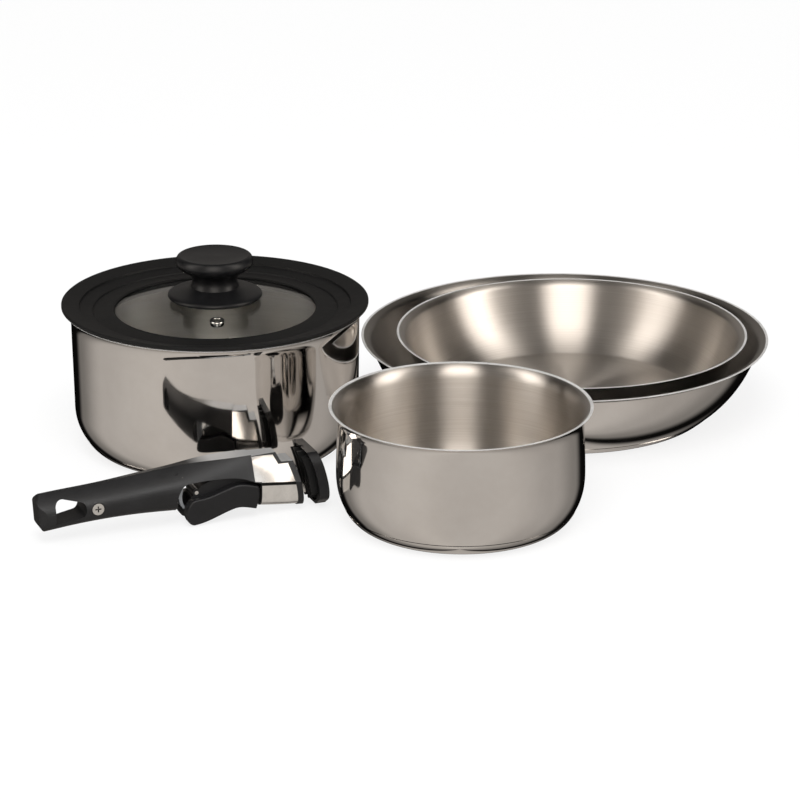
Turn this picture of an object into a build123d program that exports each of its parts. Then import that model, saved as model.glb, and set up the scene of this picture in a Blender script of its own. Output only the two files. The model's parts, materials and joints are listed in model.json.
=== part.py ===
from build123d import *
from math import asin, cos, degrees, radians, sin
import os

# A stacking set of stainless cookware with one clip-on handle and one glass lid.
# Frame: millimetres, +Z up. The origin is the centre of the large pot's foot, on the table.

# ---- driving dimensions: sheet metal and base stack -------------------------------------------
WALL = 0.8                 # stainless sheet of every vessel
CAP_SHEET = 0.6            # stainless sheet of the base cap
CORE_THICKNESS = 3.2       # aluminium heat-spreading disc
CAP_STEP = 0.25            # how far the cap stands proud of the wall above it
FLOOR_UNDERSIDE = CAP_SHEET + CORE_THICKNESS
FLOOR_TOP = FLOOR_UNDERSIDE + WALL
LIP_ANGLE = 14             # slope of the rolled-out pouring lip, degrees
CURVE_REACH = 0.36         # Bezier handle length as a share of the chord

# ---- driving dimensions: where each vessel stands ----------------------------------------------
SMALL_POT_AT = (165.0, -148.0, 0.0)
LARGE_PAN_AT = (241.7, 68.0, 0.0)
NEST_GAP = 0.05            # small pan stands this far above the large pan's floor
SMALL_PAN_AT = (LARGE_PAN_AT[0] + 5.0, LARGE_PAN_AT[1] - 1.8, FLOOR_TOP + NEST_GAP)

# ---- driving dimensions: vessel profiles -------------------------------------------------------
# foot: contact radius and the slope at which the cap leaves the table
# seam, corner, neck, lip: (radius, height, slope in degrees) on the outside of the sheet
LARGE_POT = {
    "foot": (79.8, 4),
    "outline": [(89.9, 7.0, 53), (97.4, 28.6, 89.5), (98.2, 88.0, 89.5), (102.8, 97.5, LIP_ANGLE)],
}
SMALL_POT = {
    "foot": (62.0, 2),
    "outline": [(75.1, 10.0, 61), (80.5, 34.0, 91), (79.3, 68.0, 92), (84.8, 77.2, LIP_ANGLE)],
}
LARGE_PAN = {
    "foot": (98.0, 14),
    "outline": [(107.0, 6.2, 38), (136.6, 49.5, 70), (142.8, 53.3, LIP_ANGLE)],
}
SMALL_PAN = {
    "foot": (84.0, 14),
    "outline": [(92.2, 5.8, 38), (117.2, 47.6, 70), (122.8, 51.5, LIP_ANGLE)],
}

# ---- driving dimensions: lid -------------------------------------------------------------------
LID_SEAT_Z = 98.55         # underside of the lid's outer ring, just on the large pot's lip
GLASS_TOP_Z = 103.2
GLASS_DOME_R = 285.0
GLASS_T = 4.0
GLASS_R = 75.0
VENT_R = 44.0              # distance of the steam vent from the lid's axis
VENT_TURN = 4.7            # degrees round the axis from the front of the set
VENT_HOLE_R = 3.4
KNOB_SCREW_R = 2.5
KNOB_HOLE_R = 3.2

# ---- driving dimensions: handle (own frame: X to the jaw, Y across, Z up) ----------------------
HANDLE_AT = (-108.5, -192.5, 0.0)
HANDLE_YAW = 22.0
COLLAR_REAR = [(146.2, 55.0), (146.8, 25.0), (151.3, 24.2), (151.8, -5.0)]
COLLAR_SHEET = 0.8
DECK_T = 1.2                     # plastic deck strip over the collar
NOTCH = [(163.8, 60.0), (163.8, 40.4), (166.6, 34.4), (190.0, 33.8), (190.0, 60.0)]
NOTCH_RIM = 2.2                  # plastic left bare behind the notch
FACE_ARC = [(172.4, 40.5), (177.9, 23.0), (181.0, 1.0)]   # front of the fixed jaw plate
PLATE_T = 3.7
JAW_GAP = 9.8                    # fixed plate to the moving jaw's rim, open
JAW_T = 6.9
RIB_GAP = 5.8                    # fixed plate to the tips of the pad's ribs, open
PIVOT = (144.4, 31.0)            # lever hinge
DRIVE_R = 19.5                   # lever hinge to drive pin
LEVER_SWING = 14.5               # degrees from open to closed
PIN_R = 1.5
LEVER_PIN_R = 2.0
RUNNING = 0.06                   # radial clearance of a turning pin
DRIVE_AT = (PIVOT[0] + DRIVE_R * sin(radians(LEVER_SWING / 2)),
            PIVOT[1] - DRIVE_R * cos(radians(LEVER_SWING / 2)))
BAR_HALF_T = 2.0
BAR_HALF_H = 3.0
SPRING_R = 4.2
CHANNEL_HALF = 4.9               # half height of the spring's channel in the nose
WEB_HALF = 7.0                   # lever web
SHOE_HALF = 12.4                 # finger shoe of the lever
SLOT_HALF = 7.5                  # slot in the grip for the web
CATCH_PIVOT = (98.8, 32.2)
CATCH_PIN_HALF = 9.2
CATCH_HALF = 5.5
STRIKER_AT = (108.6, 21.0)
SCREW_AT = (41.6, 20.6)


# ---- helpers -----------------------------------------------------------------------------------
def xz(r, z):
    """Point in the XZ half plane."""
    return Vector(r, 0, z)


def heading(angle):
    """Unit vector in the XZ plane at this slope."""
    return xz(cos(radians(angle)), sin(radians(angle)))


def inward(angle):
    """Unit vector from the outside of a sheet of this slope towards its inside."""
    return xz(-sin(radians(angle)), cos(radians(angle)))


def bend(start, start_angle, end, end_angle):
    """Smooth curve between two points with given slopes."""
    reach = (end - start).length * CURVE_REACH
    return Bezier(start, start + heading(start_angle) * reach, end - heading(end_angle) * reach, end)


def sheet_line(outline, inset):
    """Chain of curves along an outline, moved towards the inside by inset."""
    points = [xz(r, z) + inward(a) * inset for r, z, a in outline]
    slopes = [station[2] for station in outline]
    return [
        bend(points[i], slopes[i], points[i + 1], slopes[i + 1])
        for i in range(len(points) - 1)
    ]


def turned(edges):
    """Solid of revolution about Z from a closed chain of edges in the XZ plane."""
    return revolve(make_face(edges), Axis.Z)


def turned_polygon(points):
    """Solid of revolution from a closed polygon of (radius, height) points."""
    return revolve(make_face(Polyline(*[xz(r, z) for r, z in points], close=True)), Axis.Z)


def cylinder_between(start, end, radius):
    """Round bar between two points."""
    start = Vector(*start)
    along = Vector(*end) - start
    plane = Plane(origin=start, z_dir=along)
    return extrude(plane * Circle(radius), along.length)


def cross_pin(at, half, radius):
    """Round bar across the handle, through a point of its side view."""
    return cylinder_between((at[0], -half, at[1]), (at[0], half, at[1]), radius)


def side_slab(face_edges, half):
    """Prism across the handle from a closed chain of edges in its side view."""
    return extrude(make_face(face_edges), half, both=True)


def side_polygon(points, half):
    """Prism across the handle from a polygon of its side view."""
    return side_slab(Polyline(*[xz(x, z) for x, z in points], close=True), half)


def block(x0, x1, half_y, z0, z1):
    """Box centred across the handle."""
    middle = ((x0 + x1) / 2, 0, (z0 + z1) / 2)
    return Pos(*middle) * Box(x1 - x0, 2 * half_y, z1 - z0)


# ---- vessels -----------------------------------------------------------------------------------
def vessel_body(vessel):
    """Drawn sheet: flat floor, rounded corner, wall and rolled-out lip."""
    outline = vessel["outline"]
    seam_r, seam_z, seam_slope = outline[0]
    floor_r = seam_r - 2.4 * (seam_z - FLOOR_UNDERSIDE) ** 0.8
    seam = xz(seam_r, seam_z)
    tucked = seam + inward(seam_slope) * 2 * CAP_STEP
    outside = sheet_line(outline, 0)
    inside = sheet_line(outline, WALL)
    under = bend(xz(floor_r, FLOOR_UNDERSIDE), 0, tucked, seam_slope)
    over = bend(xz(floor_r, FLOOR_TOP), 0, inside[0] @ 0, seam_slope)
    lip_mid = (outside[-1] @ 1 + inside[-1] @ 1) * 0.5 + heading(LIP_ANGLE) * WALL * 0.5
    edges = [Line(xz(0, FLOOR_UNDERSIDE), xz(floor_r, FLOOR_UNDERSIDE)), under, Line(tucked, seam)]
    edges += outside
    edges += [ThreePointArc(outside[-1] @ 1, lip_mid, inside[-1] @ 1)]
    edges += inside
    edges += [over, Line(xz(floor_r, FLOOR_TOP), xz(0, FLOOR_TOP))]
    edges += [Line(xz(0, FLOOR_TOP), xz(0, FLOOR_UNDERSIDE))]
    return turned(edges)


def vessel_core(vessel):
    """Aluminium disc between the floor and the cap."""
    radius = vessel["foot"][0] - 0.5
    return Pos(0, 0, CAP_SHEET) * Cylinder(
        radius, CORE_THICKNESS, align=(Align.CENTER, Align.CENTER, Align.MIN)
    )


def vessel_cap(vessel):
    """Pressed stainless cap that wraps the base up to the seam."""
    foot_r, foot_slope = vessel["foot"]
    seam_r, seam_z, seam_slope = vessel["outline"][0]
    top = xz(seam_r, seam_z) - inward(seam_slope) * CAP_STEP - heading(seam_slope) * 0.3
    foot_in = xz(foot_r, 0) + inward(foot_slope) * CAP_SHEET
    level = xz(foot_in.X, CAP_SHEET)
    top_in = top + inward(seam_slope) * (CAP_SHEET - 0.15)
    edges = [
        Line(xz(0, 0), xz(foot_r, 0)),
        bend(xz(foot_r, 0), foot_slope, top, seam_slope),
        Line(top, top_in),
        bend(level, foot_slope, top_in, seam_slope),
        Line(level, xz(0, CAP_SHEET)),
        Line(xz(0, CAP_SHEET), xz(0, 0)),
    ]
    return turned(edges)


# ---- lid ---------------------------------------------------------------------------------------
def dome_z(r):
    """Height of the glass's top face at a distance from its axis."""
    return GLASS_TOP_Z - GLASS_DOME_R + (GLASS_DOME_R**2 - r**2) ** 0.5


def vent_place():
    """Frame of the steam vent: on the glass, square to it."""
    tilt = degrees(asin(VENT_R / GLASS_DOME_R))
    return Rot(Z=VENT_TURN) * Pos(0, -VENT_R, dome_z(VENT_R)) * Rot(X=tilt)


def glass_blank():
    """Domed glass disc with no holes."""
    edge_z = dome_z(GLASS_R)
    top = ThreePointArc(xz(0, GLASS_TOP_Z), xz(GLASS_R / 2, dome_z(GLASS_R / 2)), xz(GLASS_R, edge_z))
    bottom = ThreePointArc(
        xz(0, GLASS_TOP_Z - GLASS_T),
        xz(GLASS_R / 2, dome_z(GLASS_R / 2) - GLASS_T),
        xz(GLASS_R, edge_z - GLASS_T),
    )
    sides = [Line(top @ 1, bottom @ 1), Line(bottom @ 0, top @ 0)]
    return turned([top, bottom] + sides)


def lid_glass():
    """Glass disc with the knob hole and the vent hole."""
    drill = Cylinder(KNOB_HOLE_R, 20)
    vent_drill = Cylinder(VENT_HOLE_R, 20)
    return glass_blank() - Pos(0, 0, GLASS_TOP_Z) * drill - vent_place() * vent_drill


def lid_ring():
    """Stepped silicone ring: its three terraces seat on three pot sizes."""
    section = [
        (104.5, 99.3), (104.5, 100.6), (103.9, 101.1), (102.9, 101.1), (92.6, 98.9), (92.2, 97.5),
        (83.7, 95.6), (83.0, 94.7), (70.0, 96.0), (68.6, 95.6), (68.6, 90.5),
        (72.0, 86.6), (76.6, 86.6), (77.4, 90.6), (86.3, 90.9), (86.9, 94.4), (96.2, 95.0),
        (96.9, LID_SEAT_Z), (103.6, LID_SEAT_Z),
    ]
    return turned_polygon(section) - glass_blank()


def vent_eyelet():
    """Flanged steel tube, rolled over on both faces of the glass."""
    section = [
        (2.5, -GLASS_T - 0.8), (4.6, -GLASS_T - 0.8), (4.6, -GLASS_T - 0.12), (3.3, -GLASS_T - 0.12),
        (3.3, 0.12), (5.0, 0.12), (5.0, 0.5), (4.5, 1.0), (3.1, 1.0), (2.5, 0.5),
    ]
    return vent_place() * turned_polygon(section)


def knob_flange():
    """Wide guard disc between the glass and the knob."""
    base = xz(32.0, 104.4)
    section = [
        Line(xz(6.0, 105.0), xz(26.0, 104.6)),
        Line(xz(26.0, 104.6), xz(30.6, 103.4)),
        Line(xz(30.6, 103.4), base),
        Bezier(base, xz(32.6, 106.4), xz(30.6, 107.2), xz(27.5, 107.7)),
        bend(xz(27.5, 107.7), 170, xz(16.6, 111.0), 150),
        Line(xz(16.6, 111.0), xz(6.0, 111.0)),
        Line(xz(6.0, 111.0), xz(6.0, 105.0)),
    ]
    return turned(section)


def knob_grip():
    """Mushroom knob: stem, undercut and dished head."""
    section = [
        Line(xz(KNOB_SCREW_R, 105.2), xz(5.9, 105.2)),
        Line(xz(5.9, 105.2), xz(5.9, 111.05)),
        Line(xz(5.9, 111.05), xz(16.4, 111.05)),
        bend(xz(16.4, 111.05), 115, xz(15.3, 116.0), 88),
        bend(xz(15.3, 116.0), 85, xz(21.5, 122.6), 30),
        bend(xz(21.5, 122.6), 30, xz(26.4, 128.4), 92),
        bend(xz(26.4, 128.4), 92, xz(23.4, 133.0), 175),
        bend(xz(23.4, 133.0), 190, xz(0, 131.9), 180),
        Line(xz(0, 131.9), xz(0, 121.0)),
        Line(xz(0, 121.0), xz(KNOB_SCREW_R, 121.0)),
        Line(xz(KNOB_SCREW_R, 121.0), xz(KNOB_SCREW_R, 105.2)),
    ]
    return turned(section)


def knob_gasket():
    """Soft washer between the glass and the knob."""
    return turned_polygon([
        (KNOB_HOLE_R, GLASS_TOP_Z), (14.0, dome_z(KNOB_HOLE_R)), (14.0, 104.8), (KNOB_HOLE_R, 104.8)
    ]) - glass_blank()


def knob_washer():
    """Steel washer under the glass."""
    top = GLASS_TOP_Z - GLASS_T
    return turned_polygon([(2.7, top - 1.6), (9.0, top - 1.6), (9.0, top - 0.3), (2.7, top - 0.3)])


def knob_screw():
    """Cross-recessed screw up into the knob."""
    head_top = GLASS_TOP_Z - GLASS_T - 1.65
    shank = turned_polygon([(0, head_top), (KNOB_SCREW_R, head_top), (KNOB_SCREW_R, 119), (0, 119)])
    head = turned_polygon([(0, head_top - 2.6), (3.2, head_top - 2.6), (4.6, head_top - 1.4),
                           (4.6, head_top), (0, head_top)])
    return shank + head - cross_recess(Pos(0, 0, head_top - 2.6))


def cross_recess(place):
    """Cutter for a cross recess, 4 mm across its arms and 1 mm deep."""
    arm = Box(4.0, 0.9, 2.0)
    return place * (arm + Rot(Z=90) * arm)


# ---- handle: outer form ------------------------------------------------------------------------
# station: x, underside, top, half width, half deck, fold height, crease (0 soft, 1 sharp),
# squareness of the belly
STATIONS = [
    (-10.0, 6.6, 31.6, 8.8, 1.0, 19.4, 0.0, 0.62),
    (10.0, 7.5, 32.7, 9.8, 1.2, 20.0, 0.0, 0.62),
    (30.0, 9.5, 33.8, 10.6, 1.5, 21.2, 0.0, 0.62),
    (50.0, 10.5, 35.2, 11.1, 1.6, 22.6, 0.0, 0.62),
    (70.0, 10.5, 37.3, 11.7, 1.6, 24.0, 0.0, 0.62),
    (90.0, 9.6, 39.1, 12.3, 2.0, 25.0, 0.0, 0.62),
    (110.0, 8.7, 40.8, 12.8, 4.2, 25.3, 0.2, 0.64),
    (130.0, 7.7, 41.3, 13.0, 6.3, 24.9, 0.6, 0.72),
    (150.0, 5.8, 41.2, 13.0, 5.4, 23.8, 1.0, 0.82),
    (170.0, 3.5, 41.0, 13.0, 3.8, 21.8, 1.0, 0.82),
    (190.0, 1.6, 40.6, 13.0, 3.4, 20.0, 1.0, 0.82),
]
TAIL_SIDE = [(4.4, 8.6), (2.6, 32.8), (60.0, 45.0), (240.0, 60.0), (240.0, -5.0), (60.0, -5.0)]
TAIL_PLAN = [(2.0, 5.4), (4.4, 7.9), (9.0, 9.9), (30.0, 14.0), (240.0, 20.0)]
TAIL_ROUND = 7.0           # corner radius of the tail in side view


def section(x, low, high, half, deck, fold, crease, square, shrink):
    """Closed outline across the handle: flat deck, slanted upper sides, rounded belly."""
    low = low + shrink
    high = high - shrink
    half = half - shrink
    deck = deck - 0.6 * shrink
    reach = Vector(0, deck - half, high - fold).length * CURVE_REACH
    leave = radians(37 + 25 * crease)
    arrive = Vector(0, -0.06 - 0.38 * crease, 1.0 - 0.08 * crease)
    flank = [
        Vector(x, deck, high),
        Vector(x, deck, high) + Vector(0, cos(leave), -sin(leave)) * reach,
        Vector(x, half, fold) + arrive * reach,
        Vector(x, half, fold),
    ]
    belly = [
        flank[-1],
        Vector(x, half, fold - square * (fold - low)),
        Vector(x, square * half, low),
        Vector(x, 0, low),
    ]
    return Wire([
        Line(mirrored(flank[0]), flank[0]),
        Bezier(*flank),
        Bezier(*belly),
        Bezier(*[mirrored(point) for point in reversed(belly)]),
        Bezier(*[mirrored(point) for point in reversed(flank)]),
    ])


def mirrored(point):
    """The same point on the other side of the handle."""
    return Vector(point.X, -point.Y, point.Z)


def tail_end():
    """Bounds of the tail: a leaning flat end with rounded corners, narrowed in plan."""
    side = side_polygon(TAIL_SIDE, 30)
    corners = side.edges().filter_by(Axis.Y).sort_by(Axis.X)[:2]
    side = fillet(corners, TAIL_ROUND)
    right = [Vector(x, y, -5) for x, y in TAIL_PLAN]
    left = [mirrored(point) for point in reversed(right)]
    plan = extrude(make_face(Polyline(*right, *left, close=True)), 70, dir=(0, 0, 1))
    return side & plan


def handle_form(shrink=0.0):
    """Whole outer form of the handle, drawn in by shrink."""
    return loft([Face(section(*station, shrink)) for station in STATIONS]) & tail_end()


def face_line(offset):
    """Side view of the curved clamping face, moved along the handle."""
    return ThreePointArc(*[xz(x + offset, z) for x, z in FACE_ARC])


def behind_face(offset):
    """Everything behind the curved clamping face moved by offset."""
    arc = face_line(offset)
    top = arc @ 0
    foot = arc @ 1
    back_top = xz(-5, top.Z)
    back_foot = xz(-5, foot.Z)
    return side_slab([arc, Line(foot, back_foot), Line(back_foot, back_top), Line(back_top, top)], 30)


def curved_plate(near, far):
    """Plate between two copies of the clamping face."""
    return behind_face(far) - behind_face(near)


def ahead_of_collar(offset=0.0):
    """Everything ahead of the collar's stepped rear edge."""
    rear = [(x + offset, z) for x, z in COLLAR_REAR]
    return side_polygon(rear + [(240, -5), (240, 55)], 30)


def notch_cutter(offset=0.0):
    """Step in the deck that clears a vessel's rolled lip."""
    return side_polygon([(x + offset, z) for x, z in NOTCH], 30)


def deck_strip_line():
    """Everything above the underside of the deck strip, notch included."""
    step = [(x - NOTCH_RIM, z - DECK_T) for x, z in NOTCH[1:3]]
    floor_end = (NOTCH[3][0], NOTCH[3][1] - DECK_T)
    return side_polygon([(100.0, 41.3 - DECK_T), (150.0, 41.2 - DECK_T)] + step
                        + [floor_end, (190.0, 60.0), (100.0, 60.0)], 30)


# ---- handle: pieces ----------------------------------------------------------------------------
def lever_pocket():
    """Hollow in the underside: an arch across the sides and a deeper slot inside."""
    arch = side_slab([
        Line(xz(98.8, -5), xz(98.8, 8.4)),
        bend(xz(98.8, 8.4), 128, xz(94.3, 16.5), 92),
        bend(xz(94.3, 16.5), 92, xz(102.0, 29.4), 8),
        bend(xz(102.0, 29.4), 4, xz(124.0, 29.8), -2),
        bend(xz(124.0, 29.8), -2, xz(147.2, 24.4), -28),
        Line(xz(147.2, 24.4), xz(151.0, 23.6)),
        Line(xz(151.0, 23.6), xz(151.0, -5)),
        Line(xz(151.0, -5), xz(98.8, -5)),
    ], 30)
    inner = side_polygon([
        (94.8, -5), (94.8, 35.4), (130.0, 35.4), (138.0, 31.4), (147.0, 29.0), (151.0, 28.6), (151.0, -5)
    ], SLOT_HALF)
    neck = block(138.0, 153.5, 5.6, -5, 37.0)
    return arch + inner + neck


def bar_channel():
    """Slot for the draw bar and its spring, through the nose of the grip."""
    z = DRIVE_AT[1]
    wide = block(157.5, 181.0, CHANNEL_HALF, z - CHANNEL_HALF, z + CHANNEL_HALF)
    tight = block(149.5, 158.0, BAR_HALF_T + 0.3, z - BAR_HALF_H - 0.3, z + BAR_HALF_H + 0.3)
    mouth = block(149.0, 154.5, 5.6, z - 5.0, 37.0)
    return wide + tight + mouth


def hanging_hole():
    """Slanted four-sided hole with rounded corners through the tail."""
    hole = side_polygon([(14.2, 13.0), (14.0, 30.4), (34.2, 25.6), (33.8, 16.2)], 30)
    corners = hole.edges().filter_by(Axis.Y).sort_by(Axis.X)
    hole = fillet(corners[2:], 4.4)
    corners = hole.edges().filter_by(Axis.Y).sort_by(Axis.X)
    rear_top = corners[:2].sort_by(Axis.Z)[-1]
    return fillet(rear_top, 4.8)


def grip():
    """Moulded grip: tail, hand section, lever pocket and the nose inside the collar."""
    outer = handle_form() - ahead_of_collar()
    nose = (handle_form(COLLAR_SHEET + 0.05) & ahead_of_collar(-3.0)) & behind_face(-PLATE_T - 0.05)
    deck = (handle_form() & deck_strip_line()) & behind_face(-PLATE_T - 0.05)
    body = outer + nose + deck - notch_cutter()
    body = body - lever_pocket() - bar_channel() - hanging_hole()
    body = body - cross_pin(PIVOT, 8.0, LEVER_PIN_R)
    body = body - cross_pin(CATCH_PIVOT, CATCH_PIN_HALF + 0.1, PIN_R)
    body = body - cylinder_between((SCREW_AT[0], -20, SCREW_AT[1]), (SCREW_AT[0], -8.2, SCREW_AT[1]), 4.3)
    return body - cylinder_between((SCREW_AT[0], -9, SCREW_AT[1]), (SCREW_AT[0], 3.0, SCREW_AT[1]), 1.6)


def steel_collar():
    """Polished sheet sleeve round the nose, open along the deck."""
    outer = (handle_form() & ahead_of_collar(0.1)) & behind_face(-PLATE_T - 0.05)
    hollow = handle_form(COLLAR_SHEET)
    return outer - hollow - deck_strip_line() - notch_cutter(-NOTCH_RIM)


def jaw_plate():
    """Fixed jaw: black plate that closes the front of the collar."""
    plate = handle_form(-0.5) & curved_plate(-PLATE_T, 0.0)
    slot = block(170, 190, BAR_HALF_T + 0.3, DRIVE_AT[1] - BAR_HALF_H - 0.3, DRIVE_AT[1] + BAR_HALF_H + 0.3)
    return plate - notch_cutter() - slot


def jaw_outline(shrink):
    """Front view of the moving jaw, as a prism along the handle."""
    side_points = [(9.0, 41.9), (14.4, 39.8), (17.3, 35.6), (18.2, 29.0), (18.1, 22.0), (16.9, 12.8),
                   (13.0, 6.2), (6.6, 1.9)]
    top = 42.5 - shrink
    low = 0.8 + shrink
    middle = 22.0
    narrowing = 1 - shrink / 18
    shortening = 1 - shrink / 21.5
    edge = Spline(
        Vector(0, 0, top),
        *[Vector(0, y * narrowing, middle + (z - middle) * shortening) for y, z in side_points],
        Vector(0, 0, low),
        tangents=[Vector(0, 1, 0), Vector(0, -1, 0)],
    )
    right = make_face([edge, Line(Vector(0, 0, low), Vector(0, 0, top))])
    return Pos(160, 0, 0) * extrude(right + mirror(right, Plane.XZ), 60, dir=(1, 0, 0))


def moving_jaw():
    """Moving jaw: rounded shell with a recess for the ribbed pad."""
    shell = curved_plate(JAW_GAP, JAW_GAP + JAW_T) & jaw_outline(0)
    recess = curved_plate(JAW_GAP - 1, JAW_GAP + 2.4) & jaw_outline(2.0)
    socket = block(180, 194.3, BAR_HALF_T + 0.02, DRIVE_AT[1] - BAR_HALF_H - 0.02,
                   DRIVE_AT[1] + BAR_HALF_H + 0.02)
    hole = cylinder_between((185, 0, DRIVE_AT[1]), (205, 0, DRIVE_AT[1]), 1.3)
    seat = cylinder_between((195.1, 0, DRIVE_AT[1]), (205, 0, DRIVE_AT[1]), 2.7)
    return shell - recess - socket - hole - seat


def jaw_pad():
    """Soft ribbed insert that bears on the vessel's wall."""
    sheet = curved_plate(JAW_GAP + 1.2, JAW_GAP + 2.35) & jaw_outline(2.3)
    rib_zone = curved_plate(RIB_GAP, JAW_GAP + 1.3) & jaw_outline(4.2)
    ribs = [rib_zone & Pos(185, y, 22) * Box(60, 1.9, 60) for y in (-10.2, -3.4, 3.4, 10.2)]
    pad = sheet
    for rib in ribs:
        pad = pad + rib
    bar_slot = block(180, 200, BAR_HALF_T + 0.3, DRIVE_AT[1] - BAR_HALF_H - 0.3,
                     DRIVE_AT[1] + BAR_HALF_H + 0.3)
    below = block(170, 210, 30, -5, 5.0)
    return pad - bar_slot - below


def draw_bar():
    """Flat steel bar from the lever's drive pin to the moving jaw."""
    x, z = DRIVE_AT
    bar = block(x - 4.5, 194.2, BAR_HALF_T, z - BAR_HALF_H, z + BAR_HALF_H)
    slot_half = PIN_R + 0.08
    slot = Pos(x, 0, z) * Rot(X=90) * extrude(
        Rot(Z=90) * SlotOverall(2 * slot_half + 0.7, 2 * slot_half), 10, both=True
    )
    tapped = cylinder_between((186.5, 0, z), (195, 0, z), 1.25)
    return bar - slot - tapped


def bar_collar():
    """Clip on the draw bar that the spring pushes against."""
    z = DRIVE_AT[1]
    ring = cylinder_between((173.0, 0, z), (174.4, 0, z), SPRING_R + 0.5)
    return ring - block(170, 180, BAR_HALF_T, z - BAR_HALF_H, z + BAR_HALF_H)


def jaw_screw():
    """Screw through the jaw into the draw bar."""
    z = DRIVE_AT[1]
    screw = cylinder_between((187.0, 0, z), (195.3, 0, z), 1.25)
    head = cylinder_between((195.15, 0, z), (196.6, 0, z), 2.5)
    return screw + head - cross_recess(Pos(196.6, 0, z) * Rot(Y=90))


def return_spring():
    """Coil spring round the draw bar that opens the jaw."""
    start_x = 158.1
    end_x = 172.4
    coils = 5
    path = Helix(pitch=(end_x - start_x) / coils, height=end_x - start_x, radius=SPRING_R)
    wire_plane = Plane(origin=path @ 0, z_dir=path % 0)
    coil = sweep(wire_plane * Circle(0.4), path=path, is_frenet=True)
    return Pos(start_x, 0, DRIVE_AT[1]) * Rot(Y=90) * coil


def lever_outline():
    """Side view of the lever: arched top, finger hook at the tip."""
    return [
        bend(xz(147.8, 6.0), 72, xz(150.3, 17.0), 92),
        bend(xz(150.3, 17.0), 92, xz(147.0, 24.0), 150),
        bend(xz(147.0, 24.0), 145, xz(130.0, 28.3), 180),
        bend(xz(130.0, 28.3), 180, xz(110.5, 23.5), 225),
        bend(xz(110.5, 23.5), 225, xz(103.6, 16.6), 222),
        bend(xz(103.6, 16.6), 222, xz(100.2, 8.0), 268),
        bend(xz(100.2, 8.0), 268, xz(105.6, 0.4), 358),
        bend(xz(105.6, 0.4), 4, xz(132.6, 7.9), 14),
        bend(xz(132.6, 7.9), 14, xz(147.8, 6.0), -12),
    ]


def lever_crease():
    """Part of the side view below the fold between the shoe and the web."""
    return side_slab([
        bend(xz(98.0, 13.0), 40, xz(108.0, 18.1), 2),
        bend(xz(108.0, 18.1), 2, xz(131.0, 23.6), 16),
        bend(xz(131.0, 23.6), 16, xz(153.0, 20.4), -14),
        Line(xz(153.0, 20.4), xz(153.0, -2)),
        Line(xz(153.0, -2), xz(98.0, -2)),
        Line(xz(98.0, -2), xz(98.0, 13.0)),
    ], 30)


def lever():
    """Clamping lever: wide finger shoe, narrow web, hinge neck and fork for the draw bar."""
    web = side_slab(lever_outline(), WEB_HALF)
    shoe = side_slab(lever_outline(), SHOE_HALF) & lever_crease()
    rims = shoe.faces().sort_by(Axis.Y)
    shoe = fillet(rims[0].edges() + rims[-1].edges(), 1.4)
    neck = side_polygon([(140.0, 24), (140.0, PIVOT[1]), (148.8, PIVOT[1]), (148.8, 24)], 5.0)
    boss = cross_pin(PIVOT, 5.0, 4.4)
    striker_lug = cross_pin(STRIKER_AT, WEB_HALF, 2.6)
    body = web + shoe + neck + boss + striker_lug
    fork = side_polygon([(136.5, -2), (160, -2), (160, 18.5), (136.5, 18.5)], BAR_HALF_T + 0.5)
    catch_gap = side_polygon([
        (95.0, -5), (108.6, -5), (108.6, 3.0), (105.4, 18.0), (103.4, 27.0), (95.0, 27.0)
    ], CATCH_HALF + 0.6)
    body = body - fork - catch_gap - cross_pin(PIVOT, 20, LEVER_PIN_R + RUNNING)
    return body - cross_pin(DRIVE_AT, 6.0, PIN_R) - cross_pin(STRIKER_AT, WEB_HALF + 1, 1.3)


def release_catch():
    """Curved sprung hook behind the lever's tip."""
    hook = side_slab([
        bend(xz(96.4, 32.2), 268, xz(96.9, 19.0), 275),
        bend(xz(96.9, 19.0), 275, xz(100.2, 10.4), 312),
        bend(xz(100.2, 10.4), 0, xz(101.0, 12.2), 112),
        bend(xz(101.0, 12.2), 125, xz(99.5, 20.0), 84),
        bend(xz(99.5, 20.0), 84, xz(101.2, 32.2), 90),
        ThreePointArc(xz(101.2, 32.2), xz(98.8, 34.6), xz(96.4, 32.2)),
    ], CATCH_HALF)
    return hook - cross_pin(CATCH_PIVOT, 20, PIN_R + RUNNING)


def tail_screw():
    """Pan-head screw in the side of the grip."""
    x, z = SCREW_AT
    shank = cylinder_between((x, -8.3, z), (x, 2.5, z), 1.55)
    head = cylinder_between((x, -10.7, z), (x, -8.25, z), 3.9)
    return shank + head - cross_recess(Pos(x, -10.7, z) * Rot(X=90))


# ---- assembly and export -----------------------------------------------------------------------
def placed(shape, at):
    """Copy of a shape moved to a vessel's place."""
    return Pos(*at) * shape


def in_hand(shape):
    """Copy of a handle piece moved to where the handle lies."""
    return Pos(*HANDLE_AT) * Rot(Z=HANDLE_YAW) * shape


def vessel_nodes(name, vessel, at):
    """The three pieces of one vessel."""
    return {
        name + "_body": placed(vessel_body(vessel), at),
        name + "_base_core": placed(vessel_core(vessel), at),
        name + "_base_cap": placed(vessel_cap(vessel), at),
    }


def lid_nodes():
    """Pieces of the lid."""
    return {
        "lid_glass": lid_glass(),
        "lid_silicone_ring": lid_ring(),
        "lid_vent_eyelet": vent_eyelet(),
        "lid_knob_flange": knob_flange(),
        "lid_knob_grip": knob_grip(),
        "lid_knob_gasket": knob_gasket(),
        "lid_knob_washer": knob_washer(),
        "lid_knob_screw": knob_screw(),
    }


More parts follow.
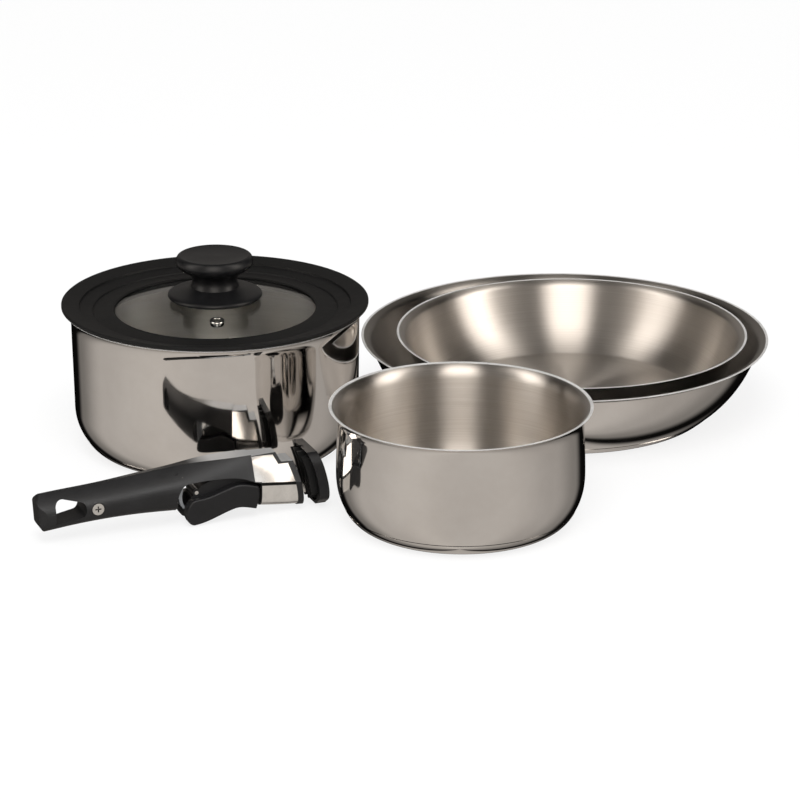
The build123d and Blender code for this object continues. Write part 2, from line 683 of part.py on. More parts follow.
def handle_nodes():
    """Pieces of the clip-on handle."""
    pieces = {
        "handle_grip": grip(),
        "handle_steel_collar": steel_collar(),
        "handle_fixed_jaw_plate": jaw_plate(),
        "handle_tail_screw": tail_screw(),
        "handle_lever_pin": cross_pin(PIVOT, 7.9, LEVER_PIN_R),
        "handle_catch_pin": cross_pin(CATCH_PIVOT, CATCH_PIN_HALF, PIN_R),
        "handle_return_spring": return_spring(),
        "handle_lever": lever(),
        "handle_drive_pin": cross_pin(DRIVE_AT, 5.9, PIN_R),
        "handle_striker_pin": cross_pin(STRIKER_AT, WEB_HALF + 0.3, 1.3),
        "handle_draw_bar": draw_bar(),
        "handle_bar_collar": bar_collar(),
        "handle_moving_jaw": moving_jaw(),
        "handle_jaw_pad": jaw_pad(),
        "handle_jaw_screw": jaw_screw(),
        "handle_release_catch": release_catch(),
    }
    return {name: in_hand(piece) for name, piece in pieces.items()}


def all_nodes():
    """Every piece of the set, by name."""
    nodes = {}
    nodes.update(vessel_nodes("large_pot", LARGE_POT, (0, 0, 0)))
    nodes.update(vessel_nodes("small_pot", SMALL_POT, SMALL_POT_AT))
    nodes.update(vessel_nodes("large_pan", LARGE_PAN, LARGE_PAN_AT))
    nodes.update(vessel_nodes("small_pan", SMALL_PAN, SMALL_PAN_AT))
    nodes.update(lid_nodes())
    nodes.update(handle_nodes())
    return nodes


os.makedirs("parts", exist_ok=True)
for node_name, node_shape in all_nodes().items():
    export_step(node_shape, f"parts/{node_name}.step")
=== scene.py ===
import json
import math

import bmesh
import bpy
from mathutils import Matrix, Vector


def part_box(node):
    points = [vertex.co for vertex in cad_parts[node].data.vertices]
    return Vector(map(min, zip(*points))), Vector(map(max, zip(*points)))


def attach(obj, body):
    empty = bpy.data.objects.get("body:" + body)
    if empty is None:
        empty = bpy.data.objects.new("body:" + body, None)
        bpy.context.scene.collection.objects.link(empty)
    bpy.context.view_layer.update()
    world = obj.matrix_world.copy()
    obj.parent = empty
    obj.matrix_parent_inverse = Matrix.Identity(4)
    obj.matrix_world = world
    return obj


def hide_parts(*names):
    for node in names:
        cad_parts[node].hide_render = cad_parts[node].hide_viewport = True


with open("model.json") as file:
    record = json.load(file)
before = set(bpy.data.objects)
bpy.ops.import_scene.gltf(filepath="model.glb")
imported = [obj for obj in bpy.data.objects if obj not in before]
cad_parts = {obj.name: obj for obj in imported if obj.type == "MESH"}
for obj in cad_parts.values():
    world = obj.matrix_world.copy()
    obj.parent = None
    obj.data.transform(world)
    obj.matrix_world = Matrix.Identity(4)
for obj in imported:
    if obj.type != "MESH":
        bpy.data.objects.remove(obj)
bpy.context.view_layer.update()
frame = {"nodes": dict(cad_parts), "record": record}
nodes = frame["nodes"]

MM = 0.001
AROUND = 320            # segments of a turned piece
CURVE_STEPS = 14        # points along one Bezier stretch of a turned outline
CURVE_REACH = 0.36      # Bezier handle length as a share of the chord
SHARP_TURN = math.radians(32)
ON_AXIS = 1e-6          # an outline point nearer the axis than this is one vertex

# ---- sheet and base stack, in millimetres, as in the CAD ----
WALL = 0.8
CAP_SHEET = 0.6
FLOOR_UNDERSIDE = 3.8
FLOOR_TOP = 4.6
CAP_STEP = 0.25
LIP_ANGLE = 14

VESSELS = {
    "large_pot": {
        "foot": (79.8, 4),
        "outline": [(89.9, 7.0, 53), (97.4, 28.6, 89.5), (98.2, 88.0, 89.5), (102.8, 97.5, LIP_ANGLE)],
    },
    "small_pot": {
        "foot": (62.0, 2),
        "outline": [(75.1, 10.0, 61), (80.5, 34.0, 91), (79.3, 68.0, 92), (84.8, 77.2, LIP_ANGLE)],
    },
    "large_pan": {
        "foot": (98.0, 14),
        "outline": [(107.0, 6.2, 38), (136.6, 49.5, 70), (142.8, 53.3, LIP_ANGLE)],
    },
    "small_pan": {
        "foot": (84.0, 14),
        "outline": [(92.2, 5.8, 38), (117.2, 47.6, 70), (122.8, 51.5, LIP_ANGLE)],
    },
}


# ---- outline helpers: points are (radius, height) in millimetres ----
def point(r, z):
    return Vector((r, z))


def heading(angle):
    return Vector((math.cos(math.radians(angle)), math.sin(math.radians(angle))))


def inward(angle):
    return Vector((-math.sin(math.radians(angle)), math.cos(math.radians(angle))))


def bend(start, start_angle, end, end_angle, steps=CURVE_STEPS):
    """Points of a smooth curve between two points with given slopes, the last one left out."""
    reach = (end - start).length * CURVE_REACH
    a = start + heading(start_angle) * reach
    b = end - heading(end_angle) * reach
    found = []
    for i in range(steps):
        t = i / steps
        s = 1 - t
        found.append(s**3 * start + 3 * s * s * t * a + 3 * s * t * t * b + t**3 * end)
    return found


def sheet_line(outline, inset):
    """Points along an outline moved towards the inside by inset."""
    stations = [(point(r, z) + inward(a) * inset, a) for r, z, a in outline]
    found = []
    for (start, a), (end, b) in zip(stations, stations[1:]):
        found += bend(start, a, end, b)
    return found + [stations[-1][0]]


def straight(start, end, steps=2):
    """Points of a straight stretch, the last one left out."""
    return [start.lerp(end, i / steps) for i in range(steps)]


# ---- mesh helpers ----
def box_centre(node):
    low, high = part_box(node)
    return (low + high) / 2


def ring_of_points(bm, p):
    """Vertices round the axis at an outline point, or one vertex on the axis."""
    if abs(p.x) < ON_AXIS:
        return [bm.verts.new((0, 0, p.y * MM))]
    angles = [2 * math.pi * k / AROUND for k in range(AROUND)]
    return [bm.verts.new((p.x * MM * math.cos(a), p.x * MM * math.sin(a), p.y * MM)) for a in angles]


def skin_between(bm, a, b, zone):
    """Smooth faces between two neighbouring rings."""
    if len(a) == 1 and len(b) == 1:
        return
    for k in range(AROUND):
        n = (k + 1) % AROUND
        if len(a) == 1:
            corners = (a[0], b[n], b[k])
        elif len(b) == 1:
            corners = (a[k], a[n], b[0])
        else:
            corners = (a[k], a[n], b[n], b[k])
        face = bm.faces.new(corners)
        face.material_index = zone
        face.smooth = True


def sharpen(bm, ring):
    """Break the shading at a ring where the outline turns sharply."""
    for k in range(AROUND):
        edge = bm.edges.get((ring[k], ring[(k + 1) % AROUND]))
        edge.smooth = False


def turned(name, stretches, centre, body, materials):
    """A turned piece. Stretches is a list of (points, material index), joined into one outline."""
    outline = []
    zones = []
    for points, zone in stretches:
        outline += points
        zones += [zone] * len(points)
    mesh = bpy.data.meshes.new(name)
    bm = bmesh.new()
    loops = [ring_of_points(bm, p) for p in outline]
    count = len(loops)
    for i in range(count):
        skin_between(bm, loops[i], loops[(i + 1) % count], zones[i])
    bmesh.ops.recalc_face_normals(bm, faces=bm.faces)
    for i in range(count):
        before = outline[i] - outline[i - 1]
        after = outline[(i + 1) % count] - outline[i]
        if len(loops[i]) > 1 and before.angle(after, 0) > SHARP_TURN:
            sharpen(bm, loops[i])
    bm.to_mesh(mesh)
    bm.free()
    obj = bpy.data.objects.new(name, mesh)
    bpy.context.scene.collection.objects.link(obj)
    obj.location = centre
    for material in materials:
        mesh.materials.append(material)
    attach(obj, body)
    return obj


# ---- materials ----
def new_material(name):
    material = bpy.data.materials.new(name)
    material.use_nodes = True
    tree = material.node_tree
    bsdf = tree.nodes["Principled BSDF"]
    return material, tree, bsdf


def link(tree, a, a_socket, b, b_socket):
    tree.links.new(a.outputs[a_socket], b.inputs[b_socket])


def noise(tree, vector, scale, detail=3.0, rough=0.5, stretch=(1, 1, 1)):
    mapping = tree.nodes.new("ShaderNodeMapping")
    mapping.inputs["Scale"].default_value = stretch
    texture = tree.nodes.new("ShaderNodeTexNoise")
    texture.inputs["Scale"].default_value = scale
    texture.inputs["Detail"].default_value = detail
    texture.inputs["Roughness"].default_value = rough
    tree.links.new(vector, mapping.inputs["Vector"])
    tree.links.new(mapping.outputs["Vector"], texture.inputs["Vector"])
    return texture


def grey(level):
    return (level, level, level)


def times(colour, gain):
    return tuple(gain * part for part in colour)


def ramp(tree, value, stops):
    """Colour ramp read at a value; stops is a list of (position, colour)."""
    node = tree.nodes.new("ShaderNodeValToRGB")
    ramp_data = node.color_ramp
    while len(ramp_data.elements) < len(stops):
        ramp_data.elements.new(0.5)
    for element, (position, colour) in zip(ramp_data.elements, stops):
        element.position = position
        element.color = (*colour, 1)
    tree.links.new(value, node.inputs["Fac"])
    return node


def math_node(tree, operation, a, b=None):
    """One math node; a and b are sockets or numbers. Returns its output socket."""
    node = tree.nodes.new("ShaderNodeMath")
    node.operation = operation
    for index, value in enumerate((a, b)):
        if value is None:
            continue
        if isinstance(value, (int, float)):
            node.inputs[index].default_value = value
        else:
            tree.links.new(value, node.inputs[index])
    return node.outputs["Value"]


def held(tree, value):
    """The value held between 0 and 1."""
    return math_node(tree, "MINIMUM", math_node(tree, "MAXIMUM", value, 0.0), 1.0)


def beyond(tree, value, edge, steepness):
    """0 where value is under the edge, rising to 1 past it."""
    over = math_node(tree, "SUBTRACT", value, edge)
    return held(tree, math_node(tree, "MULTIPLY", over, steepness))


def short_of(tree, value, edge, steepness):
    """0 where value is over the edge, rising to 1 before it."""
    under = math_node(tree, "SUBTRACT", edge, value)
    return held(tree, math_node(tree, "MULTIPLY", under, steepness))


def around_axis(tree):
    """Sockets of a turned piece's own radius, height and angle about its axis."""
    coords = tree.nodes.new("ShaderNodeTexCoord")
    parts = tree.nodes.new("ShaderNodeSeparateXYZ")
    tree.links.new(coords.outputs["Object"], parts.inputs["Vector"])
    x, y, z = parts.outputs["X"], parts.outputs["Y"], parts.outputs["Z"]
    x_square = math_node(tree, "MULTIPLY", x, x)
    y_square = math_node(tree, "MULTIPLY", y, y)
    radius = math_node(tree, "SQRT", math_node(tree, "ADD", x_square, y_square))
    return radius, z, math_node(tree, "ARCTAN2", y, x)


def rings(tree, fineness, wander):
    """Noise drawn out round the axis, as turning and brushing leave it."""
    radius, height, angle = around_axis(tree)
    joined = tree.nodes.new("ShaderNodeCombineXYZ")
    tree.links.new(radius, joined.inputs["X"])
    tree.links.new(height, joined.inputs["Y"])
    drift = math_node(tree, "MULTIPLY", math_node(tree, "COSINE", angle), wander)
    tree.links.new(drift, joined.inputs["Z"])
    return noise(tree, joined.outputs["Vector"], fineness, 2.0)


def bumped(tree, bsdf, height, strength, distance):
    """Surface relief from a height socket."""
    bumper = tree.nodes.new("ShaderNodeBump")
    bumper.inputs["Strength"].default_value = strength
    bumper.inputs["Distance"].default_value = distance
    tree.links.new(height, bumper.inputs["Height"])
    link(tree, bumper, "Normal", bsdf, "Normal")


# steel colours at the dark and the light end of their grain
MIRROR_DARK = (0.70, 0.675, 0.65)
MIRROR_LIGHT = (0.78, 0.76, 0.74)
SATIN_DARK = (0.64, 0.605, 0.565)
SATIN_LIGHT = (0.73, 0.70, 0.665)
SCRATCH_DEPTH = 0.00003             # metres
MOULDED_GRAIN_DEPTH = 0.0002        # metres
LARGE_PAN_SHADE_TONE = 0.62                    # painted shade: how much darker the large pan's inside is drawn
RADIAL_SCRATCH_TURN = 0.25          # quarter turn: highlights stretch across the rings


def steel_mirror(name):
    """Mirror-polished sheet with faint polishing haze and fine wiping marks."""
    material, tree, bsdf = new_material(name)
    bsdf.inputs["Metallic"].default_value = 1.0
    coords = tree.nodes.new("ShaderNodeTexCoord")
    haze = noise(tree, coords.outputs["Object"], 22.0, 4.0, 0.6)
    tone = ramp(tree, haze.outputs["Fac"], [(0.3, MIRROR_DARK), (0.7, MIRROR_LIGHT)])
    link(tree, tone, "Color", bsdf, "Base Color")
    smear = ramp(tree, haze.outputs["Fac"], [(0.35, grey(0.03)), (0.75, grey(0.11))])
    link(tree, smear, "Color", bsdf, "Roughness")
    marks = rings(tree, 1400.0, 0.002)
    bumped(tree, bsdf, marks.outputs["Fac"], 0.04, SCRATCH_DEPTH)
    return material


def steel_satin(name, painted_shade_factor=1.0):
    """Brushed inside: rings of fine scratches stretch its highlights. The last argument scales the
    tone down as painted shade.
    """
    material, tree, bsdf = new_material(name)
    bsdf.inputs["Metallic"].default_value = 1.0
    bsdf.inputs["Anisotropic"].default_value = 0.97
    bsdf.inputs["Anisotropic Rotation"].default_value = RADIAL_SCRATCH_TURN
    tangent = tree.nodes.new("ShaderNodeTangent")
    tangent.direction_type = "RADIAL"
    tangent.axis = "Z"
    link(tree, tangent, "Tangent", bsdf, "Tangent")
    grain = rings(tree, 1900.0, 0.0006)
    tones = [(0.25, times(SATIN_DARK, painted_shade_factor)), (0.75, times(SATIN_LIGHT, painted_shade_factor))]
    tone = ramp(tree, grain.outputs["Fac"], tones)
    link(tree, tone, "Color", bsdf, "Base Color")
    dull = ramp(tree, grain.outputs["Fac"], [(0.3, grey(0.31)), (0.7, grey(0.38))])
    link(tree, dull, "Color", bsdf, "Roughness")
    scratches = rings(tree, 3600.0, 0.0006)
    bumped(tree, bsdf, scratches.outputs["Fac"], 0.15, SCRATCH_DEPTH)
    return material


def plain(name, colour, roughness, metallic=0.0, bump=0.0, bump_scale=900.0, specular=0.5):
    """Moulded or turned material with grain in its roughness, its tone and its surface."""
    material, tree, bsdf = new_material(name)
    bsdf.inputs["Metallic"].default_value = metallic
    bsdf.inputs["Specular IOR Level"].default_value = specular
    coords = tree.nodes.new("ShaderNodeTexCoord")
    blotch = noise(tree, coords.outputs["Object"], 60.0, 5.0, 0.6)
    tones = [(0.3, times(colour, 0.85)), (0.7, times(colour, 1.15))]
    tone = ramp(tree, blotch.outputs["Fac"], tones)
    link(tree, tone, "Color", bsdf, "Base Color")
    dulls = [(0.3, grey(0.9 * roughness)), (0.7, grey(1.1 * roughness))]
    rough = ramp(tree, blotch.outputs["Fac"], dulls)
    link(tree, rough, "Color", bsdf, "Roughness")
    if bump:
        grain = noise(tree, coords.outputs["Object"], bump_scale)
        bumped(tree, bsdf, grain.outputs["Fac"], bump, MOULDED_GRAIN_DEPTH)
    return material


def recess_painted_shade(material, reach):
    """Painted shade in recesses narrower than reach: the base colour is darkened there."""
    tree = material.node_tree
    bsdf = tree.nodes["Principled BSDF"]
    colour = bsdf.inputs["Base Color"].links[0].from_socket
    shade = tree.nodes.new("ShaderNodeAmbientOcclusion")
    shade.inputs["Distance"].default_value = reach
    shade.samples = 8
    painted_shade_factor = math_node(tree, "POWER", shade.outputs["AO"], 3.0)
    scaled = tree.nodes.new("ShaderNodeVectorMath")
    scaled.operation = "SCALE"
    tree.links.new(colour, scaled.inputs[0])
    tree.links.new(painted_shade_factor, scaled.inputs["Scale"])
    tree.links.new(scaled.outputs["Vector"], bsdf.inputs["Base Color"])


HANDLE_AT = (-0.1085, -0.1925)      # the handle's own origin, as in the CAD
HANDLE_YAW = math.radians(22.0)
DECK_START = 0.104                  # metres along the handle
DECK_FLATNESS = 0.97                # upward part of the normal where the deck counts as flat
# painted reflection: the light grey of the grip's deck strip
DECK_REFLECTION_GREY = (0.20, 0.20, 0.198)
FOLD_HEIGHT = 0.0379                # of the collar's fold at the handle's origin
FOLD_FALL = 0.1                     # drop of the fold per length along the handle
FOLD_HALF = 0.0013
# painted reflection: the dark line along the collar's fold
FOLD_REFLECTION_DARK = (0.02, 0.02, 0.02)
MIX_A, MIX_B, MIX_RESULT = 6, 7, 2  # colour sockets of a mix node


def along_handle(tree):
    """Sockets of the distance along the handle from its own origin, and the height, in metres."""
    coords = tree.nodes.new("ShaderNodeTexCoord")
    parts = tree.nodes.new("ShaderNodeSeparateXYZ")
    tree.links.new(coords.outputs["Object"], parts.inputs["Vector"])
    across = math.cos(HANDLE_YAW)
    deep = math.sin(HANDLE_YAW)
    start = HANDLE_AT[0] * across + HANDLE_AT[1] * deep
    x_part = math_node(tree, "MULTIPLY", parts.outputs["X"], across)
    y_part = math_node(tree, "MULTIPLY", parts.outputs["Y"], deep)
    total = math_node(tree, "ADD", x_part, y_part)
    return math_node(tree, "SUBTRACT", total, start), parts.outputs["Z"]


def recolour(tree, bsdf, factor, colour):
    """Mix another colour into the base colour where factor is 1."""
    mix = tree.nodes.new("ShaderNodeMix")
    mix.data_type = "RGBA"
    tree.links.new(factor, mix.inputs["Factor"])
    tree.links.new(bsdf.inputs["Base Color"].links[0].from_socket, mix.inputs[MIX_A])
    mix.inputs[MIX_B].default_value = (*colour, 1)
    tree.links.new(mix.outputs[MIX_RESULT], bsdf.inputs["Base Color"])


def paint_deck_reflection(material):
    """Painted reflection: the flat deck strip at the nose, coloured light grey."""
    tree = material.node_tree
    bsdf = tree.nodes["Principled BSDF"]
    along, _ = along_handle(tree)
    geometry = tree.nodes.new("ShaderNodeNewGeometry")
    parts = tree.nodes.new("ShaderNodeSeparateXYZ")
    tree.links.new(geometry.outputs["True Normal"], parts.inputs["Vector"])
    flat = beyond(tree, parts.outputs["Z"], DECK_FLATNESS, 80.0)
    reached = beyond(tree, along, DECK_START, 60.0)
    recolour(tree, bsdf, math_node(tree, "MULTIPLY", flat, reached), DECK_REFLECTION_GREY)


def paint_fold_reflection(material):
    """Painted reflection: the dark line that the collar's fold reflects between its two panels."""
    tree = material.node_tree
    bsdf = tree.nodes["Principled BSDF"]
    along, height = along_handle(tree)
    fold = math_node(tree, "SUBTRACT", FOLD_HEIGHT, math_node(tree, "MULTIPLY", along, FOLD_FALL))
    off = math_node(tree, "ABSOLUTE", math_node(tree, "SUBTRACT", height, fold))
    recolour(tree, bsdf, short_of(tree, off, FOLD_HALF, 2500.0), FOLD_REFLECTION_DARK)


def clear_glass(name):
    """Clear lid glass with a trace of haze."""
    material, tree, bsdf = new_material(name)
    bsdf.inputs["Base Color"].default_value = (0.86, 0.88, 0.87, 1)
    coords = tree.nodes.new("ShaderNodeTexCoord")
    haze = noise(tree, coords.outputs["Object"], 30.0)
    smear = ramp(tree, haze.outputs["Fac"], [(0.45, grey(0.0)), (0.8, grey(0.02))])
    link(tree, smear, "Color", bsdf, "Roughness")
    bsdf.inputs["Transmission Weight"].default_value = 1.0
    bsdf.inputs["IOR"].default_value = 1.5
    return material


# ---- vessels ----
mirror = steel_mirror("polished_steel")
satin = steel_satin("satin_steel")
# a darker copy of the satin for the large pan's inside: painted shade
satin_painted_shade = steel_satin("satin_steel_painted_shade", LARGE_PAN_SHADE_TONE)
rim = plain("rim_steel", (0.80, 0.79, 0.77), 0.42, 0.55, bump=0.1)
RIM_RINGS = 2           # outermost rings of the inside that the rim polish reaches
POLISHED, BRUSHED, RIM = 0, 1, 2        # material indices of a shell
HIDDEN_STEPS = 6        # points along a curve nobody sees
FLOOR_STEPS = 12        # rings of the inside floor
LIP_ROUND = 0.75        # how far the lip's outer points reach towards its middle
SEAM_GAP = 0.3          # between the cap's edge and the seam, in millimetres
CAP_EDGE = CAP_SHEET - 0.15


def floor_radius(seam_r, seam_z):
    """Radius at which the flat floor ends under the bottom bend."""
    return seam_r - 2.4 * (seam_z - FLOOR_UNDERSIDE) ** 0.8


def rounded_lip(outer, inner):
    """Points round the edge of the sheet, between its outer and its inner end."""
    middle = (outer + inner) / 2 + heading(LIP_ANGLE) * WALL * 0.5
    return [outer, outer.lerp(middle, LIP_ROUND), middle, inner.lerp(middle, LIP_ROUND)]


def shell(name, outline, centre):
    """The vessel's sheet: polished outside, rounded lip and brushed inside."""
    seam_r, seam_z, seam_slope = outline[0]
    floor_r = floor_radius(seam_r, seam_z)
    tucked = point(seam_r, seam_z) + inward(seam_slope) * 2 * CAP_STEP
    outside = sheet_line(outline, 0)
    inside = sheet_line(outline, WALL)
    under_edge = point(floor_r, FLOOR_UNDERSIDE)
    floor_edge = point(floor_r, FLOOR_TOP)
    underside = straight(point(0, FLOOR_UNDERSIDE), under_edge)
    underside += bend(under_edge, 0, tucked, seam_slope, HIDDEN_STEPS)
    lip = rounded_lip(outside[-1], inside[-1])
    inside.reverse()
    bottom_bend = bend(floor_edge, 0, inside[-1], seam_slope)
    floor_line = straight(point(0, FLOOR_TOP), floor_edge, FLOOR_STEPS)
    stretches = [
        (underside, POLISHED),
        ([tucked], POLISHED),
        (outside[:-1], POLISHED),
        (lip, RIM),
        (inside[:RIM_RINGS], RIM),
        (inside[RIM_RINGS:], BRUSHED),
        (bottom_bend[:0:-1], BRUSHED),
        (floor_line[::-1], BRUSHED),
    ]
    inner = satin_painted_shade if name == "large_pan" else satin
    looks = [mirror, inner, rim]
    body = turned(name + "_shell", stretches, centre, name, looks)
    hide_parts(name + "_body")


def cap(name, outline, foot, centre):
    """The base cap: flat foot, bend up to the seam, and its inner face."""
    seam_r, seam_z, seam_slope = outline[0]
    foot_r, foot_slope = foot
    foot_edge = point(foot_r, 0)
    seam = point(seam_r, seam_z)
    top = seam - inward(seam_slope) * CAP_STEP - heading(seam_slope) * SEAM_GAP
    top_in = top + inward(seam_slope) * CAP_EDGE
    level = point((foot_edge + inward(foot_slope) * CAP_SHEET).x, CAP_SHEET)
    inner_bend = bend(level, foot_slope, top_in, seam_slope, HIDDEN_STEPS)
    stretches = [
        (straight(point(0, 0), foot_edge, 4), POLISHED),
        (bend(foot_edge, foot_slope, top, seam_slope), POLISHED),
        ([top, top_in], POLISHED),
        (inner_bend[::-1], POLISHED),
        ([point(0, CAP_SHEET)], POLISHED),
    ]
    piece = turned(name + "_cap", stretches, centre, name, [mirror])
    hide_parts(name + "_base_cap")


for vessel_name, vessel in VESSELS.items():
    vessel_centre = box_centre(vessel_name + "_body")
    vessel_centre.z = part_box(vessel_name + "_base_cap")[0].z if vessel_name == "small_pan" else 0
    shell(vessel_name, vessel["outline"], vessel_centre)
    cap(vessel_name, vessel["outline"], vessel["foot"], vessel_centre)

# ---- CAD nodes ----
RECESS_REACH = 0.0016   # metres: narrower recesses of the small steel pieces get painted shade
SILICONE_BLACK = (0.006, 0.006, 0.006)
MOULDED_BLACK = (0.006, 0.006, 0.0065)
GRIP_BLACK = (0.008, 0.008, 0.0085)
silicone = plain("silicone", SILICONE_BLACK, 0.55, bump=0.12, specular=0.22)
knob_black = plain("knob_black", MOULDED_BLACK, 0.36, bump=0.12, specular=0.35)
grip_black = plain("grip_black", GRIP_BLACK, 0.42, bump=0.45, bump_scale=1500.0, specular=0.32)
lever_black = plain("lever_black", MOULDED_BLACK, 0.36, bump=0.12, specular=0.3)
catch_grey = plain("catch_grey", (0.16, 0.165, 0.17), 0.3)
small_steel = plain("small_steel", (0.7, 0.69, 0.67), 0.25, 1.0, bump=0.05)
# painted shade in the recesses of the small steel pieces, such as the screw's cross
recess_painted_shade(small_steel, RECESS_REACH)
core_metal = plain("core_metal", (0.75, 0.75, 0.75), 0.45, 1.0)
collar_steel = plain("collar_steel", (0.86, 0.85, 0.83), 0.15, 1.0)
# painted reflection on the grip's deck strip
paint_deck_reflection(grip_black)
# painted reflection along the collar's fold
paint_fold_reflection(collar_steel)
glass = clear_glass("lid_glass_clear")
BY_SLOT = {
    "stainless_body": mirror,
    "stainless_cap": mirror,
    "aluminium_core": core_metal,
    "stainless_small": small_steel,
    "spring_steel": small_steel,
    "polished_collar": collar_steel,
    "lid_glass": glass,
    "black_silicone": silicone,
    "black_phenolic": knob_black,
    "black_grip": grip_black,
    "black_lever": lever_black,
    "grey_catch": catch_grey,
}
for entry in frame["record"]["subparts"]:
    obj = nodes[entry["node"]]
    obj.data.materials.clear()
    obj.data.materials.append(BY_SLOT[entry["material_slot"]])


# ---- floor, light and camera ----
CAMERA_AT = (0.1259, -2.154, 0.7903)
CAMERA_PITCH = 19.48
LENS_MM = 149.36
SENSOR_MM = 36.0
AIM = Vector((0.12, 0.0, 0.05))     # where the lights point
WARM = (1.0, 0.93, 0.86)

# what polished metal sees, by turn about the set: 0 and 1 lie behind it, 0.5 is the camera's side
LOW_ROUND = [
    (0.0, 0.0), (0.095, 0.004),                             # dark backdrop behind
    (0.125, 0.20), (0.22, 0.50), (0.38, 0.62),              # left side of the surround
    (0.5, 0.55),                                            # the camera's side
    (0.62, 0.56), (0.76, 0.42), (0.86, 0.24),               # right side of the surround
    (0.905, 0.004), (1.0, 0.0),
]
STEEP_ROUND = [(0.0, 0.5), (0.04, 0.45), (0.075, 0.0), (0.925, 0.0), (0.96, 0.45), (1.0, 0.5)]
HIGH_ROUND = [
    (0.0, 0.05), (0.07, 0.05), (0.14, 0.0), (0.245, 0.0),   # dim backdrop
    (0.285, 0.75), (0.31, 0.75),                            # left soft box
    (0.35, 0.07), (0.435, 0.05),
    (0.47, 0.72), (0.53, 0.72),                             # soft box over the camera
    (0.565, 0.05), (0.65, 0.07),
    (0.69, 0.85), (0.72, 0.85),                             # right soft box
    (0.755, 0.0), (0.86, 0.0), (0.93, 0.05), (1.0, 0.05),
]
HIGH_GAIN = 4.2
STEEP_HEIGHT = -0.5     # upward part of a direction under which STEEP_ROUND sets in
HORIZON_SOFTNESS = 25.0
OVERHEAD = 0.97         # upward part of a direction over which the soft boxes fade
OVERHEAD_LEVEL = 0.12


def tone_round(tree, turn, stops):
    """Tone read from a list of (turn, level) round the set."""
    node = ramp(tree, turn, [(place, grey(level)) for place, level in stops])
    node.color_ramp.interpolation = "EASE"
    return node.outputs["Color"]


def turn_about_set(tree, parts):
    """Direction about the vertical, from 0 to 1."""
    forward = math_node(tree, "MULTIPLY", parts.outputs["Y"], -1.0)
    angle = math_node(tree, "ARCTAN2", parts.outputs["X"], forward)
    return math_node(tree, "ADD", math_node(tree, "DIVIDE", angle, 2 * math.pi), 0.5)


def low_tone(tree, turn, up):
    """The low surround, with the pale floor behind the set in steep downward directions."""
    steep = short_of(tree, up, STEEP_HEIGHT, 4.0)
    below = math_node(tree, "MULTIPLY", steep, tone_round(tree, turn, STEEP_ROUND))
    return math_node(tree, "MAXIMUM", tone_round(tree, turn, LOW_ROUND), below)


def high_tone(tree, turn, up):
    """The soft boxes, fading straight overhead."""
    high = math_node(tree, "MULTIPLY", tone_round(tree, turn, HIGH_ROUND), HIGH_GAIN)
    fade = math_node(tree, "MAXIMUM", short_of(tree, up, OVERHEAD, 5.0), OVERHEAD_LEVEL)
    return math_node(tree, "MULTIPLY", high, fade)


def studio_tone(tree, direction):
    """Colour that a reflection finds in this direction: a warm low surround, soft boxes above."""
    parts = tree.nodes.new("ShaderNodeSeparateXYZ")
    tree.links.new(direction, parts.inputs["Vector"])
    up = parts.outputs["Z"]
    turn = turn_about_set(tree, parts)
    rise = math_node(tree, "ADD", math_node(tree, "MULTIPLY", up, HORIZON_SOFTNESS), 0.5)
    rise = held(tree, rise)
    sink = math_node(tree, "SUBTRACT", 1.0, rise)
    above = math_node(tree, "MULTIPLY", high_tone(tree, turn, up), rise)
    under = math_node(tree, "MULTIPLY", low_tone(tree, turn, up), sink)
    level = math_node(tree, "ADD", above, under)
    tinted = tree.nodes.new("ShaderNodeVectorMath")
    tinted.operation = "SCALE"
    tinted.inputs[0].default_value = WARM
    tree.links.new(level, tinted.inputs["Scale"])
    return tinted.outputs["Vector"]


FLOOR_HALF = 6.0
FLOOR_DROP = 0.0002     # keeps the floor clear of the feet
FLOOR_OWN_LIGHT = 0.8   # share of the floor's tone that is its own light


def floor():
    """Pale plain floor. Reflections look through it to the studio's low surround."""
    mesh = bpy.data.meshes.new("floor")
    size = FLOOR_HALF
    corners = [(-size, -size, 0), (size, -size, 0), (size, size, 0), (-size, size, 0)]
    mesh.from_pydata(corners, [], [(0, 1, 2, 3)])
    obj = bpy.data.objects.new("floor", mesh)
    bpy.context.scene.collection.objects.link(obj)
    obj.location = (0, 0, -FLOOR_DROP)
    material, tree, bsdf = new_material("floor_paper")
    bsdf.inputs["Base Color"].default_value = (0.9, 0.9, 0.9, 1)
    bsdf.inputs["Roughness"].default_value = 0.9
    output = tree.nodes["Material Output"]
    path = tree.nodes.new("ShaderNodeLightPath")
    geometry = tree.nodes.new("ShaderNodeNewGeometry")
    onward = tree.nodes.new("ShaderNodeVectorMath")
    onward.operation = "SCALE"
    onward.inputs["Scale"].default_value = -1.0
    tree.links.new(geometry.outputs["Incoming"], onward.inputs[0])
    glow = tree.nodes.new("ShaderNodeEmission")
    tree.links.new(studio_tone(tree, onward.outputs["Vector"]), glow.inputs["Color"])
    paper = tree.nodes.new("ShaderNodeEmission")
    seen = tree.nodes.new("ShaderNodeMixShader")
    share = math_node(tree, "MULTIPLY", path.outputs["Is Camera Ray"], FLOOR_OWN_LIGHT)
    tree.links.new(share, seen.inputs["Fac"])
    tree.links.new(bsdf.outputs["BSDF"], seen.inputs[1])
    tree.links.new(paper.outputs["Emission"], seen.inputs[2])
    mix = tree.nodes.new("ShaderNodeMixShader")
    tree.links.new(path.outputs["Is Glossy Ray"], mix.inputs["Fac"])
    tree.links.new(seen.outputs["Shader"], mix.inputs[1])
    tree.links.new(glow.outputs["Emission"], mix.inputs[2])
    tree.links.new(mix.outputs["Shader"], output.inputs["Surface"])
    mesh.materials.append(material)


SOFT_LEVEL = 0.9        # strength of the white surround as light
BACKDROP_EXTRA = 0.3    # added where the camera sees it


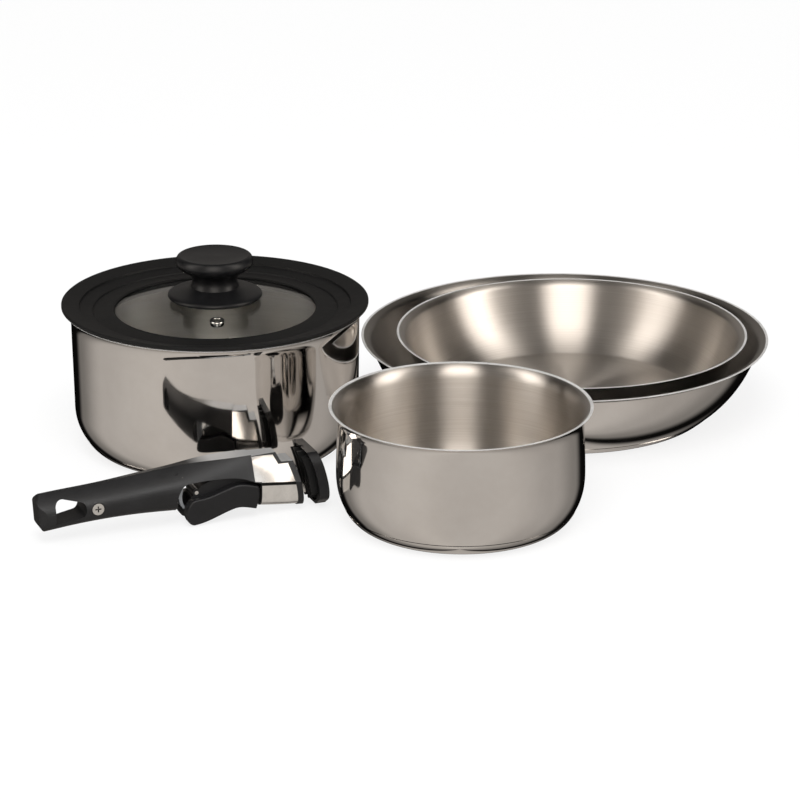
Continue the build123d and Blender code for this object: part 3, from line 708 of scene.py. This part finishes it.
def studio():
    """World: white to the camera and to soft light, the studio's tones to reflections."""
    world = bpy.data.worlds.new("studio")
    world.use_nodes = True
    tree = world.node_tree
    white = tree.nodes["Background"]
    white.inputs["Color"].default_value = (1, 1, 1, 1)
    path = tree.nodes.new("ShaderNodeLightPath")
    extra = math_node(tree, "MULTIPLY", path.outputs["Is Camera Ray"], BACKDROP_EXTRA)
    tree.links.new(math_node(tree, "ADD", extra, SOFT_LEVEL), white.inputs["Strength"])
    coords = tree.nodes.new("ShaderNodeTexCoord")
    seen = tree.nodes.new("ShaderNodeBackground")
    tree.links.new(studio_tone(tree, coords.outputs["Generated"]), seen.inputs["Color"])
    mix = tree.nodes.new("ShaderNodeMixShader")
    tree.links.new(path.outputs["Is Glossy Ray"], mix.inputs["Fac"])
    tree.links.new(white.outputs["Background"], mix.inputs[1])
    tree.links.new(seen.outputs["Background"], mix.inputs[2])
    tree.links.new(mix.outputs["Shader"], tree.nodes["World Output"].inputs["Surface"])
    bpy.context.scene.world = world


def soft_light(name, azimuth, elevation, distance, width, height, power, receivers=()):
    """Area light aimed at the set, or at some of its pieces only. Azimuth 0 is the camera's side."""
    a = math.radians(azimuth)
    e = math.radians(elevation)
    toward = Vector((math.cos(e) * math.sin(a), -math.cos(e) * math.cos(a), math.sin(e)))
    place = AIM + distance * toward
    data = bpy.data.lights.new(name, "AREA")
    data.shape = "RECTANGLE"
    data.size = width
    data.size_y = height
    data.energy = power
    obj = bpy.data.objects.new(name, data)
    obj.location = place
    obj.rotation_euler = (AIM - place).to_track_quat("-Z", "Y").to_euler()
    obj.visible_glossy = bool(receivers)
    bpy.context.scene.collection.objects.link(obj)
    if receivers:
        lit = bpy.data.collections.new(name + "_lit")
        for receiver in receivers:
            lit.objects.link(receiver)
        obj.light_linking.receiver_collection = lit
        obj.light_linking.blocker_collection = lit


floor()
studio()
collar = nodes["handle_steel_collar"]
handle_nodes = [obj for node, obj in nodes.items() if node.startswith("handle_")]
others = [obj for obj in handle_nodes if obj != collar]
soft_light("key", 0, 55, 2.2, 1.0, 1.4, 30)
soft_light("grip_side", 40, 26, 1.6, 1.4, 0.3, 13, others)
soft_light("collar_side", 44, 30, 1.6, 2.0, 1.5, 6, [collar])
bpy.context.scene.view_settings.view_transform = "Standard"

camera_data = bpy.data.cameras.new("camera")
camera_data.lens = LENS_MM
camera_data.sensor_width = SENSOR_MM
camera = bpy.data.objects.new("camera", camera_data)
camera.location = CAMERA_AT
camera.rotation_euler = (math.radians(90 - CAMERA_PITCH), 0, 0)
bpy.context.scene.collection.objects.link(camera)
bpy.context.scene.camera = camera
